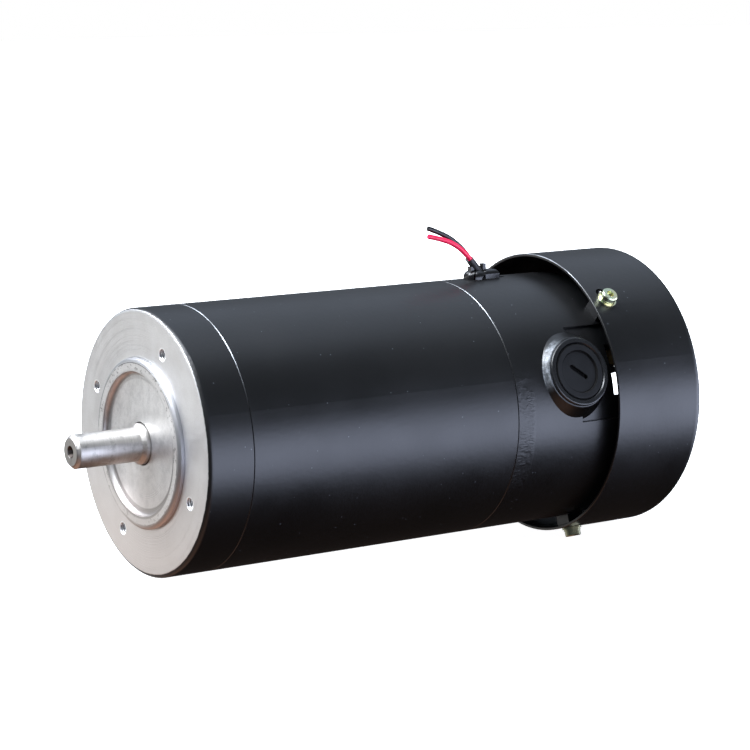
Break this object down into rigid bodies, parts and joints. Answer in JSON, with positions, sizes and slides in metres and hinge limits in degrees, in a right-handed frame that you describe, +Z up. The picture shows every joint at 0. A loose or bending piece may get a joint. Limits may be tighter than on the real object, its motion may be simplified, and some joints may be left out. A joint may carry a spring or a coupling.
{
  "type": "electric motor",
  "caption": "Brushed permanent-magnet DC motor with a round face mount, plain shaft, screw-in brush caps, two leads and a rear fan cowl.",
  "frame": {"origin": "centre of the mounting face, on the shaft axis", "axes": "-Y along the output shaft towards its tip, +Z up as the motor lies on a bench on its cowl"},
  "size_m": [0.1278, 0.2768, 0.1416],
  "materials": {
    "black_paint": "satin black powder coat with fine dust specks",
    "machined_aluminium": "turned face, painted black round its rim",
    "cast_black_aluminium": "die-cast, satin black paint",
    "shaft_steel": "ground",
    "bearing_steel": "polished",
    "pressed_steel": "pressed sheet",
    "lamination_steel": "stacked laminations",
    "ferrite": "matt sintered",
    "copper": "enamelled copper",
    "brass": "stamped",
    "yellow_zinc": "yellow passivated zinc",
    "zinc_steel": "zinc plated",
    "bakelite": "moulded, slight sheen",
    "cap_plastic": "moulded, satin",
    "strain_relief_nylon": "moulded nylon",
    "carbon": "graphite",
    "phenolic": "brown moulding compound",
    "fan_plastic": "moulded nylon",
    "sleeve_rubber": "shrink sleeve",
    "red_pvc": "extruded insulation",
    "black_pvc": "extruded insulation"
  },
  "bodies": {
    "housing": {"bearing_wave_washer": "pressed_steel", "brush_guide_left": "brass", "brush_guide_right": "brass", "brush_holder_left": "bakelite", "brush_holder_right": "bakelite", "brush_shunt_left": "copper", "brush_shunt_right": "copper", "brush_spring_left": "pressed_steel", "brush_spring_right": "pressed_steel", "brush_terminal_left": "brass", "brush_terminal_right": "brass", "cover_plain_washers": "yellow_zinc", "cover_screws": "yellow_zinc", "cover_spring_washers": "yellow_zinc", "fan_cover": "black_paint", "front_bearing_outer_ring": "bearing_steel", "front_bearing_shields": "pressed_steel", "front_end_bell": "machined_aluminium", "inner_lead_black": "black_pvc", "inner_lead_red": "red_pvc", "lead_black": "black_pvc", "lead_red": "red_pvc", "lead_sleeve": "sleeve_rubber", "magnet_clips": "pressed_steel", "magnet_left": "ferrite", "magnet_right": "ferrite", "rear_bearing_outer_ring": "bearing_steel", "rear_bearing_shields": "pressed_steel", "rear_end_bell": "cast_black_aluminium", "stator_tube": "black_paint", "strain_relief_front": "strain_relief_nylon", "strain_relief_rear": "strain_relief_nylon", "terminal_rivets": "brass", "tie_bolt_washers": "zinc_steel", "tie_bolts": "zinc_steel"},
    "rotor": {"motor_shaft": "shaft_steel", "armature_core": "lamination_steel", "armature_windings": "copper", "slot_wedges": "phenolic", "commutator_segments": "copper", "commutator_hub": "phenolic", "coil_leads": "copper", "fan": "fan_plastic", "fan_circlip": "pressed_steel", "front_bearing_inner_ring": "bearing_steel", "rear_bearing_inner_ring": "bearing_steel"},
    "front_cage": {"front_bearing_balls": "bearing_steel", "front_bearing_cage": "pressed_steel"},
    "rear_cage": {"rear_bearing_balls": "bearing_steel", "rear_bearing_cage": "pressed_steel"},
    "brush_right": {"carbon_brush_right": "carbon"},
    "cap_seat_right": {"contact_disc_right": "brass"},
    "cap_right": {"brush_cap_right": "cap_plastic"},
    "brush_left": {"carbon_brush_left": "carbon"},
    "cap_seat_left": {"contact_disc_left": "brass"},
    "cap_left": {"brush_cap_left": "cap_plastic"}
  },
  "joints": [
    {"name": "rotor_spin", "type": "hinge", "parent": "housing", "child": "rotor", "pos_m": [0, 0.1, 0], "axis": [0, 1, 0], "continuous": true},
    {"name": "front_cage_spin", "type": "hinge", "parent": "housing", "child": "front_cage", "pos_m": [0, 0.0122, 0], "axis": [0, 1, 0], "continuous": true},
    {"name": "rear_cage_spin", "type": "hinge", "parent": "housing", "child": "rear_cage", "pos_m": [0, 0.2025, 0], "axis": [0, 1, 0], "continuous": true},
    {"name": "brush_slide_right", "type": "slide", "parent": "housing", "child": "brush_right", "axis": [0.9385, 0, 0.3453], "range_m": [0, 0.003], "stiffness_N_per_m": 250, "springref_m": -0.02, "deforming": ["brush_spring_right", "brush_shunt_right"]},
    {"name": "cap_lift_right", "type": "slide", "parent": "housing", "child": "cap_seat_right", "axis": [0.9385, 0, 0.3453], "range_m": [0, 0.006]},
    {"name": "cap_turn_right", "type": "hinge", "parent": "cap_seat_right", "child": "cap_right", "pos_m": [0.05349, 0.181, 0.01968], "axis": [0.9385, 0, 0.3453], "range_deg": [0, 1440]},
    {"name": "brush_slide_left", "type": "slide", "parent": "housing", "child": "brush_left", "axis": [-0.9385, 0, -0.3453], "range_m": [0, 0.003], "stiffness_N_per_m": 250, "springref_m": -0.02, "deforming": ["brush_spring_left", "brush_shunt_left"]},
    {"name": "cap_lift_left", "type": "slide", "parent": "housing", "child": "cap_seat_left", "axis": [-0.9385, 0, -0.3453], "range_m": [0, 0.006]},
    {"name": "cap_turn_left", "type": "hinge", "parent": "cap_seat_left", "child": "cap_left", "pos_m": [-0.05349, 0.181, -0.01968], "axis": [-0.9385, 0, -0.3453], "range_deg": [0, 1440]}
  ],
  "couplings": [
    {"joint": "front_cage_spin", "follows": "rotor_spin", "ratio": 0.3818},
    {"joint": "rear_cage_spin", "follows": "rotor_spin", "ratio": 0.3808},
    {"joint": "cap_lift_right", "follows": "cap_turn_right", "m_per_rad": 0.00023873},
    {"joint": "cap_lift_left", "follows": "cap_turn_left", "m_per_rad": 0.00023873}
  ]
}
